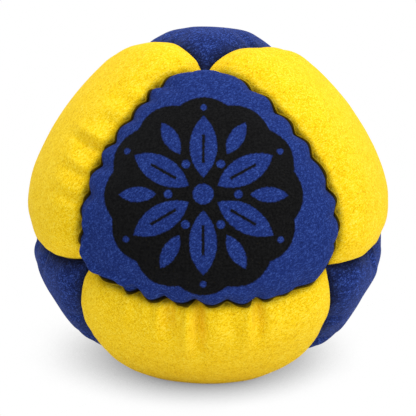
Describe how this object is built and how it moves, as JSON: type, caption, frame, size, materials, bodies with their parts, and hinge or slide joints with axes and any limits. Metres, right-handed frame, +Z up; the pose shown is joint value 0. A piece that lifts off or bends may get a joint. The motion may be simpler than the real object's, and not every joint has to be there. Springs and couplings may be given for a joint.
{
  "type": "footbag",
  "caption": "Small round kicking bag sewn from triangular suede panels in two alternating colours, packed with pellets and slightly flattened where it rests.",
  "frame": {"origin": "centre of the footprint, on the surface that the bag rests on", "axes": "+Z up, the printed front panel faces -Y, +X to the right as seen from the front"},
  "size_m": [0.0546, 0.0554, 0.0531],
  "materials": {
    "printed_blue_suede": "napped synthetic suede, screen printed in black",
    "blue_suede": "napped synthetic suede",
    "yellow_suede": "napped synthetic suede",
    "seam_thread": "waxed nylon sewing thread",
    "fill_pellets": "packed plastic pellets"
  },
  "bodies": {
    "root": {"panel_blue_front": "printed_blue_suede", "panel_blue_top": "blue_suede", "panel_blue_lower_left": "blue_suede", "panel_blue_lower_right": "blue_suede", "panel_yellow_left": "yellow_suede", "panel_yellow_right": "yellow_suede", "panel_yellow_bottom": "yellow_suede", "panel_yellow_back": "yellow_suede", "pellet_fill": "fill_pellets", "thread_front_to_left": "seam_thread", "thread_front_to_right": "seam_thread", "thread_front_to_bottom": "seam_thread", "thread_top_to_left": "seam_thread", "thread_top_to_right": "seam_thread", "thread_top_to_back": "seam_thread", "thread_lower_left_to_left": "seam_thread", "thread_lower_left_to_bottom": "seam_thread", "thread_lower_left_to_back": "seam_thread", "thread_lower_right_to_right": "seam_thread", "thread_lower_right_to_bottom": "seam_thread", "thread_lower_right_to_back": "seam_thread"}
  },
  "joints": []
}
